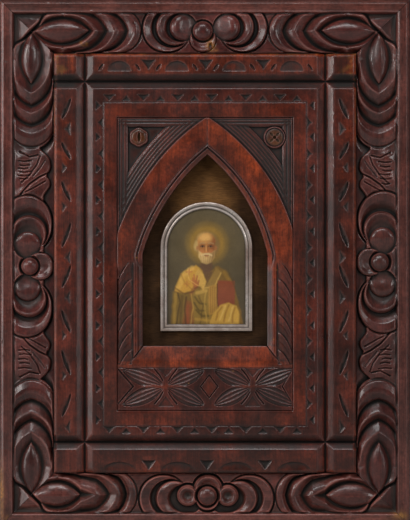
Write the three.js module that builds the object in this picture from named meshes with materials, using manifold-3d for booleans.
// A small arched icon plate in a metal rim, on a velvet ground, in a carved and
// polished wooden frame with a pointed-arch opening.
//
// Units: millimetres.  The work is drawn lying on a bench (x right, y up the
// work, z out of the wall towards the viewer) and stood up at the end, so that
// +Z is up, the front faces -Y and the flat back is the plane Y = 0.
// Origin: on the flat back of the top rail, where the frame hangs on a wall.
import * as THREE from 'three';
import { mergeVertices } from 'three/addons/utils/BufferGeometryUtils.js';
import Module from 'manifold-3d';

const wasm = await Module();
wasm.setup();

// ---------------------------------------------------------------- sizes
const FRAME_W = 328;          // outer width
const FRAME_H = 421;          // outer height
const HANG_BELOW_TOP = 20;    // the origin is this far below the top edge
const GAP = 0.3;              // clearance between pieces that touch

// section of a frame member: distance in from the outer edge, height off the wall
const OUTER_SIDE = 21.6;      // height of the outer side
const LIP_TOP = 24;           // flat lip round the outside
const LIP_IN = 9.2;           // inner edge of the lip
const BAND_OUT = 10.4;        // carved band, outer edge
const BAND_IN = 43.2;         // carved band, inner edge
const GROUND = 19.6;          // ground of the carving
const LEDGE = 14;             // ledge that carries the panel
const MEMBER_W = 56;          // outer edge to the opening behind the panel

// panel with its mouldings
const PANEL_BACK = LEDGE + GAP;
const PANEL_FRONT = 28.4;
const PANEL_CHAMFER = 2;
const GROOVE_DEPTH = 4.8;
const GROOVE_X = 96, GROOVE_HALF_X = 7.2;          // two upright V-grooves
const GROOVE_Y = [-45.6, -333.3], GROOVE_HALF_Y = 6.2; // two level V-grooves
const BOARD_HALF_W = 70.05;                        // joint round the arch board
const BOARD_TOP = -74.35, BOARD_BOTTOM = -308.05;

// pointed arch of the opening
const ARCH_HALF_W = 49.8;
const SPRING_Y = -186.4;      // where the arch leaves the jambs
const ARCH_BOTTOM = -256.8;
const ARC_CX = 97, ARC_DROP = 33.6;   // centre of each arc: beyond the far jamb, below the springing
const ARC_R = 151.3;          // the opening
const ARC_BEVEL = 5.2;        // width of the bevel round the opening
const ARC_OUT = 175.3;        // outer edge of the arch band
const ARC_SPANDREL = 189.5;   // edge of the sunk spandrel
const SPANDREL_DEPTH = 3;
const ROUNDELS = [[-52.8, -90, 7.7], [55.5, -90.2, 8.6]];
const COLUMN_X = 63.6, COLUMN_HALF = 5.6, COLUMN_LEAVES = 6;
const COLUMN_TOP = -186, COLUMN_BOTTOM = -271;
const LEAF_PANEL_TOP = -274.4, LEAF_PANEL_BOTTOM = -307, LEAF_PANEL_HALF = 68.4;

// icon: arched plate in a stepped rim
const RIM_HALF_W = 36.8, RIM_TOP = -141.6, RIM_BOTTOM = -245;
const RIM_CX = 1.08;          // the icon hangs a touch right of centre
const RIM_WALL = 1.2, RIM_W = 5.6, RIM_STEP = 2.6;
const RIM_BACK = 13.9, RIM_FRONT = 17.4, RIM_LOW = 16.4;
const PLATE_INSET = 1.5, PLATE_T = 1.2;
const ARCH_LEAN = 1.9;        // the point of the arch stands a little right of the middle
const LUNETTE_PITCH = 45.8;   // half-moons and hanging triangles along the level strips

const BACK_Z0 = 7, BACK_Z1 = 12;
const VELVET_Z0 = BACK_Z1 + GAP, VELVET_Z1 = 13.6;

const TOP = HANG_BELOW_TOP, BOTTOM = TOP - FRAME_H, MID = (TOP + BOTTOM) / 2;

// ---------------------------------------------------------------- helpers
// triangles from corner lists, wound outwards, as one closed geometry
function closed(points, faces) {
  const g = new THREE.BufferGeometry();
  g.setAttribute('position', new THREE.Float32BufferAttribute(points.flat(), 3));
  g.setIndex(faces.flat());
  return tidy(g);
}

function tidy(geometry) {
  const g0 = geometry.clone();
  for (const name of Object.keys(g0.attributes)) if (name !== 'position') g0.deleteAttribute(name);
  g0.clearGroups();
  const g = mergeVertices(g0, 1e-4);
  const idx = Array.from(g.index.array), pos = g.attributes.position, keep = [];
  let volume = 0;
  const a = new THREE.Vector3(), b = new THREE.Vector3(), c = new THREE.Vector3();
  for (let i = 0; i < idx.length; i += 3) {
    const [p, q, r] = [idx[i], idx[i + 1], idx[i + 2]];
    if (p === q || q === r || r === p) continue;
    keep.push(p, q, r);
    a.fromBufferAttribute(pos, p); b.fromBufferAttribute(pos, q); c.fromBufferAttribute(pos, r);
    volume += a.dot(b.cross(c));
  }
  if (volume < 0) for (let i = 0; i < keep.length; i += 3) [keep[i], keep[i + 1]] = [keep[i + 1], keep[i]];
  g.setIndex(keep);
  return g;
}

function solid(geometry) {
  const g = tidy(geometry);
  return new wasm.Manifold(new wasm.Mesh({
    numProp: 3,
    vertProperties: Float32Array.from(g.attributes.position.array),
    triVerts: Uint32Array.from(g.index.array),
  }));
}

function toGeometry(manifold) {
  const m = manifold.getMesh();
  const g = new THREE.BufferGeometry();
  g.setAttribute('position', new THREE.BufferAttribute(new Float32Array(m.vertProperties), 3));
  g.setIndex(Array.from(m.triVerts));
  g.computeVertexNormals();
  return g;
}

const join = (list) => list.reduce((a, b) => a.add(b));

// straight-sided slab from an outline in x, y
function slab(outline, z0, z1, holes = []) {
  const shape = new THREE.Shape(outline.map(([x, y]) => new THREE.Vector2(x, y)));
  for (const h of holes) shape.holes.push(new THREE.Path(h.map(([x, y]) => new THREE.Vector2(x, y))));
  const g = new THREE.ExtrudeGeometry(shape, { depth: z1 - z0, bevelEnabled: false, steps: 1 });
  g.translate(0, 0, z0);
  return g;
}

const rect = (x0, y0, x1, y1) => [[x0, y0], [x1, y0], [x1, y1], [x0, y1]];

// skin through a row of equal closed sections, with flat ends
function loft(rings) {
  const m = rings[0].length, faces = [];
  rings.slice(0, -1).forEach((_, i) => {
    for (let j = 0; j < m; j++) {
      const k = (j + 1) % m, p = i * m + j, q = i * m + k, r = p + m, s = q + m;
      faces.push([p, q, s], [p, s, r]);
    }
  });
  const last = (rings.length - 1) * m;
  for (let j = 1; j < m - 1; j++) faces.push([0, j + 1, j], [last, last + j, last + j + 1]);
  return closed(rings.flat(), faces);
}

// round boss, straight or tapered
function cone(x, y, r0, r1, z0, z1, sides = 16) {
  const g = new THREE.CylinderGeometry(r1, r0, z1 - z0, sides, 1);
  g.rotateX(Math.PI / 2);
  g.translate(x, y, (z0 + z1) / 2);
  return g;
}

// swelling lobe or ball: part of an ellipsoid that stands out of the ground
function dome(x, y, rx, ry, z, h, nu = 12, nv = 6) {
  const g = new THREE.SphereGeometry(1, nu, nv);
  g.rotateX(Math.PI / 2);
  g.scale(rx, ry, h);
  g.translate(x, y, z);
  return g;
}

// a leaf shaped like a lens with a ridge along its middle
function leaf(x0, y0, x1, y1, half, zBase, zRidge, steps = 6, offset = 0) {
  const dx = x1 - x0, dy = y1 - y0, len = Math.hypot(dx, dy);
  const [tx, ty] = [dx / len, dy / len], [nx, ny] = [-ty, tx];
  const R = (len * len / 4 + half * half) / (2 * half);
  const rings = [];
  for (let i = 0; i <= steps; i++) {
    const t = i / steps, a = (t - 0.5) * len;
    const w = i === 0 || i === steps ? 0 : Math.sqrt(R * R - a * a) - (R - half);
    const zr = zBase + (zRidge - zBase) * Math.sqrt(Math.max(0, w / half));
    const cx = x0 + tx * (a + len / 2), cy = y0 + ty * (a + len / 2);
    const o = offset * w / half;
    rings.push([
      [cx + nx * w, cy + ny * w, zBase], [cx + nx * o, cy + ny * o, zr], [cx - nx * w, cy - ny * w, zBase],
    ]);
  }
  return loft(rings);
}

// a ridge along a line, with its own width on each side
function ridge(path, left, right, zBase, zCrest) {
  const rings = path.map(([x, y], i) => {
    const [ax, ay] = path[Math.max(0, i - 1)], [bx, by] = path[Math.min(path.length - 1, i + 1)];
    const l = Math.hypot(bx - ax, by - ay), nx = -(by - ay) / l, ny = (bx - ax) / l;
    return [[x + nx * left, y + ny * left, zBase], [x, y, zCrest], [x - nx * right, y - ny * right, zBase]];
  });
  return loft(rings);
}

// bar with a given section and mitred ends; x runs along it, its outer edge is y = 0
function mitredBar(section, halfLength) {
  const end = (side) => section.map(([d, h]) => [side * (halfLength - d - GAP * 0.75), -d, h]);
  const pts = [...end(-1), ...end(1)], n = section.length, faces = [];
  for (let i = 0; i < n; i++) {
    const j = (i + 1) % n;
    faces.push([i, j, n + j], [i, n + j, n + i]);
  }
  const caps = THREE.ShapeUtils.triangulateShape(section.map(([d, h]) => new THREE.Vector2(d, h)), []);
  for (const [a, b, c] of caps) faces.push([a, c, b], [n + a, n + b, n + c]);
  return closed(pts, faces);
}

// ---------------------------------------------------------------- frame members
const SECTION = [
  [0, 0], [MEMBER_W, 0], [MEMBER_W, LEDGE], [BAND_IN, LEDGE], [BAND_IN, GROUND],
  [BAND_OUT, GROUND], [LIP_IN, LIP_TOP - 0.6], [LIP_IN - 0.7, LIP_TOP], [2.8, LIP_TOP], [1.4, LIP_TOP - 0.6], [0, OUTER_SIDE],
];

// half of a pointed arch line: how far a contour falls back behind its tip at a distance a from the axis
const fallBack = (a, R, s) => Math.sqrt(R * R - s * s) - Math.sqrt(Math.max(0, R * R - (a + s) * (a + s)));

// One end of a member.  u runs from the corner along the member, v in from the
// outer edge; place() turns (u, v) into the bar's own x, y.
function endCarving(p, place) {
  const out = [];
  const put = (u, v) => place(u, v);
  // corner block: half of a ridged diamond that meets the next member on the mitre
  const A = put(BAND_OUT, BAND_OUT), B = put(24.4, 24.4), C = put(35, 13.5);
  out.push(closed(
    [[...A, GROUND - 1], [...B, GROUND - 1], [...C, GROUND - 1], [...A, GROUND + 0.6], [...B, 25.2], [...C, GROUND + 0.8]],
    [[0, 1, 2], [3, 5, 4], [0, 3, 4], [0, 4, 1], [1, 4, 5], [1, 5, 2], [2, 5, 3], [2, 3, 0]],
  ));
  // leaf
  const [l0, l1] = p.leaf;
  out.push(leaf(...put(l0, p.axis), ...put(l1, p.axis), p.leafHalf, GROUND - 0.4, 25.8, 6));
  // three shell ridges nested round the leaf's end
  for (const [tip, R, s, crest, inner, outer] of p.shells) {
    const reach = Math.min(R - s - 0.4, 16.2), n = 5, line = [];
    for (let i = -n; i <= n; i++) {
      const a = reach * Math.sin((i / n) * Math.PI / 2 * 0.98);
      line.push(put(tip - fallBack(Math.abs(a), R, s), p.axis + a));
    }
    const flip = (line[n][0] - line[0][0]) * (line[2 * n][1] - line[0][1]) > (line[n][1] - line[0][1]) * (line[2 * n][0] - line[0][0]);
    out.push(ridge(line, flip ? outer : inner, flip ? inner : outer, GROUND - 0.6, crest));
  }
  return out.map(solid);
}

// crescents that close round the lobe beside the middle ball
function crescents(p, place) {
  const [c1, c2, c3] = p.rings.map(([u, v, r]) => [...place(u, v), r]);
  const first = solid(cone(...c1, c1[2] - 1.4, GROUND - 1, 24.6)).subtract(solid(cone(...c2, c2[2] + 5.5, GROUND - 2, 25.2)));
  const second = solid(cone(c2[0], c2[1], c2[2] - 0.7, c2[2] - 3.6, GROUND - 1, 25.4))
    .subtract(solid(cone(c3[0], c3[1], c3[2] - 0.2, c3[2] + 3.6, GROUND - 2, 26)));
  const lobe = solid(dome(c3[0], c3[1], c3[2] - 1, c3[2] - 1, GROUND - 0.6, 5.8, 12, 6));
  const cutoff = solid(cone(...place(p.ball[0], p.ball[1]), p.ball[2] + 2.2, p.ball[2] + 3.4, GROUND, 27, 16));
  return join([first, second, lobe]).subtract(cutoff);
}

// striated double leaf that fills the longer members between shell and crescents
function striatedLeaf(p, place) {
  const [u0, u1] = p.striated;
  const body = solid(dome(...place((u0 + u1) / 2 - 3, 27), (u1 - u0) / 2 + 1, 15, GROUND - 1, 5.6, 12, 6));
  const cuts = [];
  for (let k = 0; k < 4; k++) {
    const u = u0 + 4 + k * 6;
    cuts.push(solid(ridge([place(u, 13), place(u, 27)], 1.3, 1.3, 27, 22.6)));
  }
  cuts.push(solid(ridge([place(u1 + 2, 14), place(u1 - 14, 40)], 1.6, 1.6, 27, 21.5)));
  return body.subtract(join(cuts));
}

function member(halfLength, ends, middle, lobes = []) {
  const region = solid(slab([
    [-(halfLength - BAND_OUT - 0.2) + 0.3, -(BAND_OUT + 0.1)], [halfLength - BAND_OUT - 0.5 + 0.0, -(BAND_OUT + 0.1)],
    [halfLength - BAND_IN + 0.1 - 0.5, -(BAND_IN - 0.1)], [-(halfLength - BAND_IN + 0.1) + 0.5, -(BAND_IN - 0.1)],
  ], GROUND - 3, 40));
  const parts = [];
  ends.forEach((p, i) => {
    const side = i === 0 ? -1 : 1;
    const place = (u, v) => [side * (halfLength - u), -v];
    parts.push(...endCarving(p, place), crescents(p, place));
    if (p.striated) parts.push(striatedLeaf(p, place));
  });
  // middle: ball with a petal on the panel side
  const [bs, bv, br] = middle;
  const hollow = solid(cone(bs, -bv, br + 1.6, br + 2.6, GROUND, 27, 16));
  const petal = solid(dome(bs, -(bv + 8.5), 9.5, 9, GROUND - 0.5, 4.6, 10, 6)).subtract(hollow);
  const ball = solid(dome(bs, -bv, br, br, GROUND - 0.4, 7, 12, 6));
  const small = lobes.map(([x, v, r]) => solid(dome(x, -v, r, r, GROUND - 0.4, 5.8, 12, 6)).subtract(hollow));
  const carving = join([...parts, ...small, petal, ball]).intersect(region);
  return toGeometry(solid(mitredBar(SECTION, halfLength)).add(carving));
}

// tip, arc radius, pointedness, crest height, inner and outer slope widths
const RAIL_SHELLS = [[76, 29.4, 15, 24.8, 2, 5], [92, 24.8, 7.2, 25.2, 4.5, 4.5], [108, 19.2, 2.4, 25, 5, 4]];
const STILE_SHELLS = [[75.5, 27, 12, 24.8, 2, 5], [91.2, 24.4, 7.2, 25.2, 4.5, 4.5], [108, 19.6, 2.4, 25, 5, 5]];
const RAIL = (ballU) => ({
  axis: 25.3, leaf: [26.5, 71.4], leafHalf: 10, shells: RAIL_SHELLS,
  rings: [[132.6, 23, 18.6], [138.4, 21.8, 14.4], [145.4, 21, 10]], ball: [ballU, 25, 8],
});
const STILE = (ballU) => ({
  axis: 25.2, leaf: [26.5, 67.4], leafHalf: 8.2, shells: STILE_SHELLS, striated: [119, 155],
  rings: [[ballU - 35, 22, 21.2], [ballU - 27, 23, 14.6], [ballU - 17.4, 22.2, 10.4]], ball: [ballU, 24.2, 7.4],
});

// the bottom rail's shells stand a little further apart, and a lobe rises on each side of its ball
const LOW_RAIL = (ballU, leafEnd, tips, u1) => ({
  axis: 25.3, leaf: [25, leafEnd], leafHalf: 10, shells: RAIL_SHELLS.map((r, i) => [tips[i], ...r.slice(1)]),
  rings: [[u1, 22.4, 18.8], [u1 + 7.6, 22, 14.8], [u1 + 15.2, 22.2, 10.6]], ball: [ballU, 25, 8],
});

const frameMembers = {
  frame_top: member(FRAME_W / 2, [RAIL(162.2), RAIL(165.8)], [-1.8, 25, 8]),
  frame_bottom: member(FRAME_W / 2, [LOW_RAIL(162.2, 67.5, [78.4, 93.6, 104.5], 128.2), LOW_RAIL(165.8, 64.2, [77.2, 94.6, 106], 130.6)], [-1.8, 25, 8], [[-20.2, 22.4, 6.5], [16.4, 22.4, 6.5]]),
  frame_left: member(FRAME_H / 2, [STILE(208), STILE(213)], [-2.5, 24.2, 7.4]),
  frame_right: member(FRAME_H / 2, [STILE(209.7), STILE(211.3)], [-0.8, 24.2, 7.4]),
};

// ---------------------------------------------------------------- moulded panel
const PX = FRAME_W / 2 - BAND_IN - GAP;
const PT = TOP - BAND_IN - GAP, PB = BOTTOM + BAND_IN + GAP;

// long V cut along x or y
function vCut(horizontal, at, half, from, to) {
  const deep = PANEL_FRONT - GROOVE_DEPTH, over = 2, top = PANEL_FRONT + over;
  const w = half * (1 + over / GROOVE_DEPTH);
  const section = (t) => (horizontal
    ? [[t, at - w, top], [t, at, deep], [t, at + w, top]]
    : [[at - w, t, top], [at, t, deep], [at + w, t, top]]);
  return solid(loft([section(from), section(to)]));
}

function panelSurround() {
  const o = [[-PX, PB], [PX, PB], [PX, PT], [-PX, PT]];
  const c = PANEL_CHAMFER;
  const inner = [[-PX + c, PB + c], [PX - c, PB + c], [PX - c, PT - c], [-PX + c, PT - c]];
  const block = solid(loft([
    o.map(([x, y]) => [x, y, PANEL_BACK]), o.map(([x, y]) => [x, y, PANEL_FRONT - c]), inner.map(([x, y]) => [x, y, PANEL_FRONT]),
  ]));
  const hole = solid(slab(rect(-BOARD_HALF_W - GAP / 2, BOARD_BOTTOM - GAP / 2, BOARD_HALF_W + GAP / 2, BOARD_TOP + GAP / 2), 0, 60));
  const cuts = [
    vCut(false, -GROOVE_X, GROOVE_HALF_X, PB - 5, PT + 5), vCut(false, GROOVE_X, GROOVE_HALF_X, PB - 5, PT + 5),
    vCut(true, GROOVE_Y[0], GROOVE_HALF_Y, -PX - 5, PX + 5), vCut(true, GROOVE_Y[1], GROOVE_HALF_Y, -PX - 5, PX + 5),
  ];
  // half-moons and hanging triangles in turn along the outer strip of the two level sides
  const moons = [];
  for (const [base, edge, r] of [[-37.2, -27.2, 10], [-357.0, -346.8, 12]]) {
    for (let k = -2; k < 2; k++) {
      const x = (k + 0.5) * LUNETTE_PITCH + 0.4;
      moons.push(solid(cone(x, base, r - 4, r, PANEL_FRONT - 1.5, PANEL_FRONT + 0.4, 14))
        .subtract(solid(slab(rect(x - 14, base - 14, x + 14, base), 0, 60))));
    }
    for (let k = -1; k <= 1; k++) {
      const x = k * LUNETTE_PITCH + 0.6, mid = edge - 2.8, t = PANEL_FRONT + 0.4, over = 1.3;
      moons.push(solid(closed(
        [[x - 6.4 * over, edge + 0.6, t], [x + 6.4 * over, edge + 0.6, t], [x, edge - 8.4 * over, t], [x, mid, PANEL_FRONT - 1.5]],
        [[0, 1, 2], [0, 3, 1], [1, 3, 2], [2, 3, 0]],
      )));
    }
  }
  return toGeometry(block.subtract(hole).subtract(join(cuts)).subtract(join(moons)));
}

// sideways shift of the arch, growing from the springing to its point
function lean(y) {
  const t = Math.min(1, Math.max(0, (y + 190) / 72));
  return ARCH_LEAN * t * t * (3 - 2 * t);
}

// points of one arch arc at radius R, from height y0 up to the middle line, left or right side
function archArc(R, side, n, yFrom) {
  const cy = SPRING_Y - ARC_DROP, cx = -side * ARC_CX;
  const a0 = Math.asin((yFrom - cy) / R), a1 = Math.acos(ARC_CX / R);
  const pts = [];
  for (let i = 0; i <= n; i++) {
    const a = a0 + (a1 - a0) * i / n;
    const y = cy + R * Math.sin(a);
    pts.push([cx + side * R * Math.cos(a) + lean(y), y]);
  }
  return pts;
}

// outline of the opening grown by w on every side
function archOutline(w, n = 10) {
  const R = ARC_R + w, half = ARCH_HALF_W + w, cy = SPRING_Y - ARC_DROP;
  // height at which this arc meets this jamb line
  const yJamb = cy + Math.sqrt(R * R - (half + ARC_CX) ** 2);
  const left = archArc(R, -1, n, yJamb), right = archArc(R, 1, n, yJamb).reverse().slice(1);
  return [[half, ARCH_BOTTOM - w], [-half, ARCH_BOTTOM - w], ...left, ...right];
}

function archBoard() {
  const h = BOARD_HALF_W - GAP / 2, t = BOARD_TOP - GAP / 2, b = BOARD_BOTTOM + GAP / 2;
  const FACE = 27.6;
  let board = solid(slab(rect(-h, b, h, t), PANEL_BACK, FACE));
  const raise = [];
  // wide arch band, a little proud of the board, running down into the jambs
  for (const side of [-1, 1]) {
    const outer = archArc(ARC_OUT, side, 10, SPRING_Y + 24), inner = archArc(ARC_R + ARC_BEVEL + 1.2, side, 10, SPRING_Y + 4);
    raise.push(solid(slab([...outer, ...inner.reverse()], FACE - 2, FACE + 1.2)));
  }
  // rope-like columns of slanting leaves beside the jambs
  const pitch = (COLUMN_TOP - COLUMN_BOTTOM) / COLUMN_LEAVES;
  for (const side of [-1, 1]) {
    for (let k = 0; k < COLUMN_LEAVES; k++) {
      const y = COLUMN_BOTTOM + pitch * (k + 0.5);
      raise.push(solid(leaf(side * (COLUMN_X + COLUMN_HALF), y - pitch * 0.75, side * (COLUMN_X - COLUMN_HALF), y + pitch * 0.6, 4.2, FACE - 0.6, FACE + 1.2, 5)));
    }
  }
  board = board.add(join(raise).intersect(solid(slab(rect(-h, b, h, t), PANEL_BACK, 60))));
  // opening with its bevel; the sill slopes in the same way
  const bevelLow = FACE - 3.4;
  const wide = archOutline(ARC_BEVEL + 1.4), narrow = archOutline(0);
  const bevel = solid(loft([narrow.map(([x, y]) => [x, y, bevelLow]), wide.map(([x, y]) => [x, y, FACE + 1.3])]));
  const sill = solid(closed(
    [[-54, ARCH_BOTTOM - 0.1, bevelLow], [54, ARCH_BOTTOM - 0.1, bevelLow], [-58.6, ARCH_BOTTOM - 12, FACE + 0.05], [58.6, ARCH_BOTTOM - 12, FACE + 0.05],
      [-54, ARCH_BOTTOM - 0.1, FACE + 3], [54, ARCH_BOTTOM - 0.1, FACE + 3], [-58.6, ARCH_BOTTOM - 12, FACE + 3], [58.6, ARCH_BOTTOM - 12, FACE + 3]],
    [[0, 1, 3], [0, 3, 2], [4, 7, 5], [4, 6, 7], [0, 4, 5], [0, 5, 1], [2, 3, 7], [2, 7, 6], [0, 2, 6], [0, 6, 4], [1, 5, 7], [1, 7, 3]],
  ));
  board = board.subtract(bevel).subtract(sill).subtract(solid(slab(narrow, 0, 60)));
  // sunk spandrels in two steps, each with a roundel
  const cy = SPRING_Y - ARC_DROP;
  const sunk = (side, R, x, y, depth) => {
    const aTop = Math.asin((y - cy) / R), aLow = Math.acos((x + ARC_CX) / R), pts = [[side * x, y]];
    for (let i = 0; i <= 8; i++) {
      const a = aTop + (aLow - aTop) * i / 8;
      const yy = cy + R * Math.sin(a);
      pts.push([side * (R * Math.cos(a) - ARC_CX) + lean(yy), yy]);
    }
    return solid(slab(pts, FACE - depth, FACE + 5));
  };
  for (const side of [-1, 1]) {
    board = board.subtract(sunk(side, ARC_OUT + 3.4, 65.6, -78.6, SPANDREL_DEPTH * 0.4));
    board = board.subtract(sunk(side, ARC_SPANDREL, 61.6, -81.6, SPANDREL_DEPTH));
  }
  const low = FACE - SPANDREL_DEPTH;
  for (const [x, y, r] of ROUNDELS) {
    const disc = solid(cone(x, y, r, r - 0.8, low - 1, FACE + 0.2, 20));
    const slot = solid(leaf(x, y - 4.4, x, y + 4.4, 1.5, FACE + 0.6, low + 0.4, 4));
    board = board.add(disc.subtract(slot));
  }
  // lower field: crossing leaves sunk between the two corners and the middle star
  const cutsLow = [];
  const yMid = (LEAF_PANEL_TOP + LEAF_PANEL_BOTTOM) / 2, half = (LEAF_PANEL_TOP - LEAF_PANEL_BOTTOM) / 2;
  const chip = (x0, y0, x1, y1, w) => cutsLow.push(solid(leaf(x0, y0, x1, y1, w, FACE + 0.3, FACE - 2.2, 5)));
  for (const cx of [-31, 31]) {
    for (const [sx, sy] of [[1, 1], [1, -1], [-1, 1], [-1, -1]]) {
      chip(cx + sx * 5, yMid + sy * 2.5, cx + sx * 29, yMid + sy * half * 0.9, 4.2);
    }
    chip(cx, yMid + 4, cx, yMid + half * 0.96, 3.4);
    chip(cx, yMid - 4, cx, yMid - half * 0.96, 3.4);
  }
  board = board.subtract(join(cutsLow));
  return toGeometry(board);
}

// ---------------------------------------------------------------- icon and ground
// outline with square feet and a round head, shrunk by w
function roundHeaded(w, n = 16) {
  const r = RIM_HALF_W - w, yc = RIM_TOP - RIM_HALF_W, pts = [[RIM_CX - r, RIM_BOTTOM + w], [RIM_CX + r, RIM_BOTTOM + w]];
  for (let i = 0; i <= n; i++) {
    const a = Math.PI * i / n;
    pts.push([RIM_CX + r * Math.cos(a), yc + r * Math.sin(a)]);
  }
  return pts;
}

function iconRim() {
  // closed section carried round the outline: wall, raised outer bead, lower inner step, lip over the plate
  const section = [
    [0, RIM_BACK], [RIM_WALL, RIM_BACK], [RIM_WALL, RIM_BACK + PLATE_T + GAP], [RIM_W, RIM_BACK + PLATE_T + GAP],
    [RIM_W, RIM_LOW - 0.3], [RIM_W - 0.6, RIM_LOW], [RIM_STEP, RIM_LOW], [RIM_STEP - 0.4, RIM_FRONT], [0.6, RIM_FRONT], [0, RIM_FRONT - 0.6],
  ];
  const outlines = section.map(([w]) => roundHeaded(w)), n = outlines[0].length, m = section.length;
  const pts = [], faces = [];
  section.forEach(([, z], j) => outlines[j].forEach(([x, y]) => pts.push([x, y, z])));
  for (let j = 0; j < m; j++) {
    const k = (j + 1) % m;
    for (let i = 0; i < n; i++) {
      const q = (i + 1) % n;
      faces.push([j * n + i, k * n + i, k * n + q], [j * n + i, k * n + q, j * n + q]);
    }
  }
  return closed(pts, faces);
}

const openHalf = FRAME_W / 2 - MEMBER_W;
const backBoard = slab(rect(-openHalf + GAP, BOTTOM + MEMBER_W + GAP, openHalf - GAP, TOP - MEMBER_W - GAP), BACK_Z0, BACK_Z1);
const velvet = slab(rect(-58, -268, 58, -98), VELVET_Z0, VELVET_Z1);
const plate = slab(roundHeaded(PLATE_INSET), RIM_BACK + 0.05, RIM_BACK + PLATE_T);

// ---------------------------------------------------------------- scene graph
const wood = (hex, roughness) => new THREE.MeshStandardMaterial({ color: hex, roughness, metalness: 0, flatShading: true });
const finish = {
  mahogany: wood(0x4a201a, 0.32),
  rail: wood(0x53261d, 0.32),
  panel: wood(0x5a2418, 0.36),
  backing: wood(0x4a3426, 0.7),
  velvet: new THREE.MeshStandardMaterial({ color: 0x2f2113, roughness: 0.95, metalness: 0 }),
  paint: new THREE.MeshStandardMaterial({ color: 0x8a7a3e, roughness: 0.4, metalness: 0.1 }),
  silver: new THREE.MeshStandardMaterial({ color: 0x9c938c, roughness: 0.3, metalness: 0.9 }),
};

const work = new THREE.Group();
work.name = 'framed_icon';
work.rotation.x = Math.PI / 2;          // stand the bench drawing up: y becomes +Z, z becomes -Y

function addPiece(name, geometry, material, x = 0, y = 0, turn = 0) {
  const mesh = new THREE.Mesh(geometry, material);
  mesh.name = name;
  mesh.position.set(x, y, 0);
  mesh.rotation.z = turn;
  work.add(mesh);
}

addPiece('frame_top', frameMembers.frame_top, finish.rail, 0, TOP, 0);
addPiece('frame_bottom', frameMembers.frame_bottom, finish.rail, 0, BOTTOM, Math.PI);
addPiece('frame_left', frameMembers.frame_left, finish.mahogany, -FRAME_W / 2, MID, Math.PI / 2);
addPiece('frame_right', frameMembers.frame_right, finish.mahogany, FRAME_W / 2, MID, -Math.PI / 2);
addPiece('panel_surround', panelSurround(), finish.panel);
addPiece('arch_board', archBoard(), finish.panel);
addPiece('back_board', tidy(backBoard), finish.backing);
addPiece('velvet_ground', tidy(velvet), finish.velvet);
addPiece('icon_plate', tidy(plate), finish.paint);
addPiece('icon_rim', iconRim(), finish.silver);

export default work;
